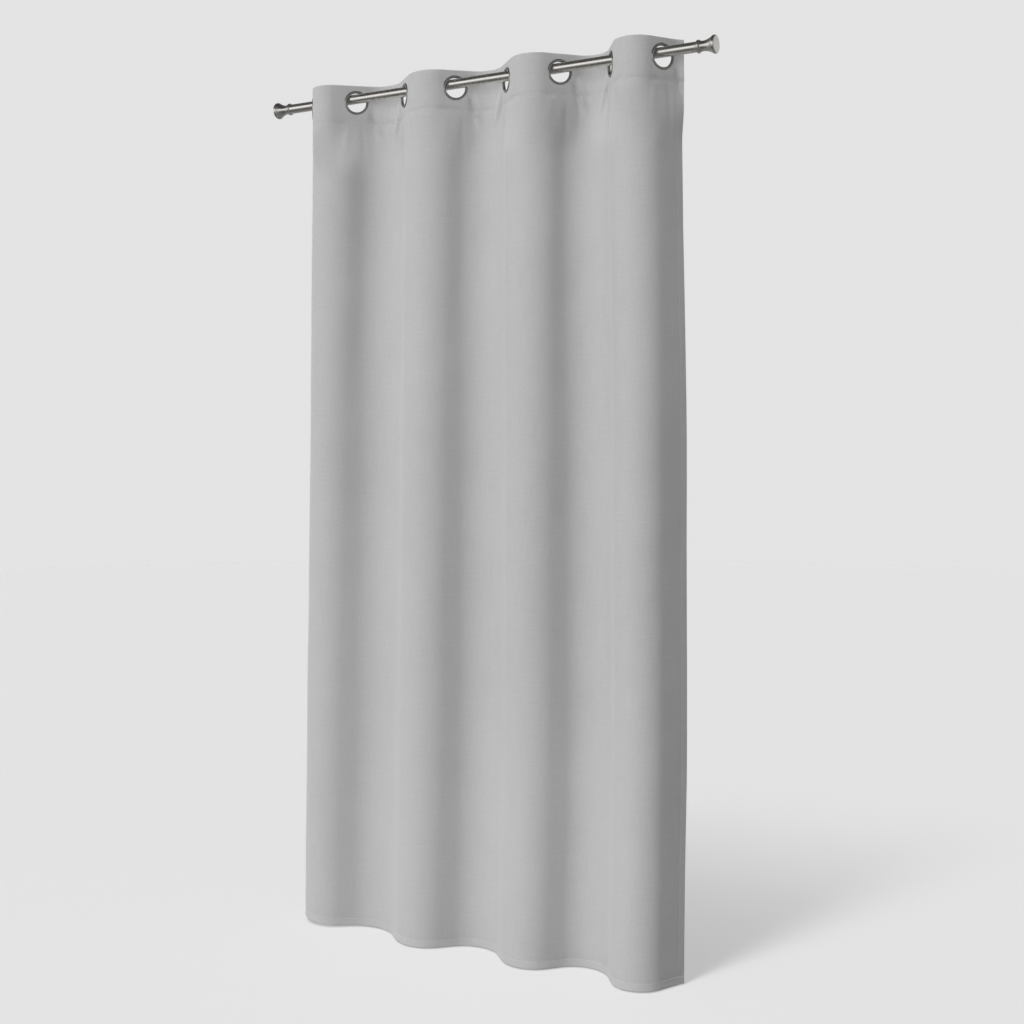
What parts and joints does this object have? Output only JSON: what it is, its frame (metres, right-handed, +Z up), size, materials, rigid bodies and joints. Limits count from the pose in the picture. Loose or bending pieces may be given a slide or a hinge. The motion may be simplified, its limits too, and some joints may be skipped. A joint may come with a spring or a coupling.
{
  "type": "eyelet curtain panel on rod",
  "caption": "Plain grey woven curtain panel with metal eyelet rings, hanging in soft S folds from a round metal rod with trumpet-shaped end finials.",
  "frame": {"origin": "on the curtain rod's axis, midway between its two tube ends, where the rod is held by its brackets", "axes": "+X along the rod to the right as seen from the room, -Y towards the room, +Z up; the panel hangs in -Z"},
  "size_m": [1.2956, 0.1105, 2.25],
  "materials": {
    "curtain_fabric": "matte woven dim-out cloth with a faint slub",
    "stiffener": "matte buckram",
    "eyelet_metal": "satin nickel",
    "rod_metal": "brushed nickel, grain along the rod",
    "finial_metal": "satin nickel, turned",
    "inner_steel": "zinc-plated",
    "bush_plastic": "moulded"
  },
  "bodies": {
    "rod": {"rod_tube_left": "rod_metal", "rod_tube_right": "rod_metal", "rod_joiner": "inner_steel"},
    "finial_left": {"finial_left_head": "finial_metal", "finial_left_collar": "finial_metal", "finial_left_bush": "bush_plastic", "finial_left_screw": "inner_steel"},
    "finial_right": {"finial_right_head": "finial_metal", "finial_right_collar": "finial_metal", "finial_right_bush": "bush_plastic", "finial_right_screw": "inner_steel"},
    "flank_1": {"face_fabric_1": "curtain_fabric", "heading_stiffener_1": "stiffener", "eyelet_1_front_ring": "eyelet_metal", "eyelet_1_back_ring": "eyelet_metal"},
    "flank_2": {"face_fabric_2": "curtain_fabric", "heading_stiffener_2": "stiffener", "eyelet_2_front_ring": "eyelet_metal", "eyelet_2_back_ring": "eyelet_metal"},
    "flank_3": {"face_fabric_3": "curtain_fabric", "heading_stiffener_3": "stiffener", "eyelet_3_front_ring": "eyelet_metal", "eyelet_3_back_ring": "eyelet_metal"},
    "flank_4": {"face_fabric_4": "curtain_fabric", "heading_stiffener_4": "stiffener", "eyelet_4_front_ring": "eyelet_metal", "eyelet_4_back_ring": "eyelet_metal"},
    "flank_5": {"face_fabric_5": "curtain_fabric", "heading_stiffener_5": "stiffener", "eyelet_5_front_ring": "eyelet_metal", "eyelet_5_back_ring": "eyelet_metal"},
    "flank_6": {"face_fabric_6": "curtain_fabric", "heading_stiffener_6": "stiffener", "eyelet_6_front_ring": "eyelet_metal", "eyelet_6_back_ring": "eyelet_metal"},
    "flank_7": {"face_fabric_7": "curtain_fabric", "heading_stiffener_7": "stiffener", "eyelet_7_front_ring": "eyelet_metal", "eyelet_7_back_ring": "eyelet_metal"},
    "flank_8": {"face_fabric_8": "curtain_fabric", "heading_stiffener_8": "stiffener", "eyelet_8_front_ring": "eyelet_metal", "eyelet_8_back_ring": "eyelet_metal"}
  },
  "joints": [
    {"name": "panel_draw", "type": "hinge", "parent": "rod", "child": "flank_1", "pos_m": [-0.5215, 0, 0], "axis": [0, 0, -1], "range_deg": [-1, 33]},
    {"name": "fold_1", "type": "hinge", "parent": "flank_1", "child": "flank_2", "pos_m": [-0.45049, -0.05001, 0], "axis": [0, 0, 1], "range_deg": [-2, 66]},
    {"name": "fold_2", "type": "hinge", "parent": "flank_2", "child": "flank_3", "pos_m": [-0.30124, 0.04102, 0], "axis": [0, 0, -1], "range_deg": [-2, 66]},
    {"name": "fold_3", "type": "hinge", "parent": "flank_3", "child": "flank_4", "pos_m": [-0.14522, -0.04178, 0], "axis": [0, 0, 1], "range_deg": [-2, 66]},
    {"name": "fold_4", "type": "hinge", "parent": "flank_4", "child": "flank_5", "pos_m": [0.00916, 0.0434, 0], "axis": [0, 0, -1], "range_deg": [-2, 66]},
    {"name": "fold_5", "type": "hinge", "parent": "flank_5", "child": "flank_6", "pos_m": [0.16054, -0.04582, 0], "axis": [0, 0, 1], "range_deg": [-2, 66]},
    {"name": "fold_6", "type": "hinge", "parent": "flank_6", "child": "flank_7", "pos_m": [0.30577, 0.05078, 0], "axis": [0, 0, -1], "range_deg": [-2, 66]},
    {"name": "fold_7", "type": "hinge", "parent": "flank_7", "child": "flank_8", "pos_m": [0.44345, -0.05367, 0], "axis": [0, 0, 1], "range_deg": [-2, 66]},
    {"name": "finial_left_pull", "type": "slide", "parent": "rod", "child": "finial_left", "axis": [-1, 0, 0], "range_m": [0, 0.05]},
    {"name": "finial_right_pull", "type": "slide", "parent": "rod", "child": "finial_right", "axis": [1, 0, 0], "range_m": [0, 0.05]}
  ],
  "couplings": [
    {"joint": "fold_1", "follows": "panel_draw", "ratio": 2},
    {"joint": "fold_2", "follows": "panel_draw", "ratio": 2},
    {"joint": "fold_3", "follows": "panel_draw", "ratio": 2},
    {"joint": "fold_4", "follows": "panel_draw", "ratio": 2},
    {"joint": "fold_5", "follows": "panel_draw", "ratio": 2},
    {"joint": "fold_6", "follows": "panel_draw", "ratio": 2},
    {"joint": "fold_7", "follows": "panel_draw", "ratio": 2}
  ]
}
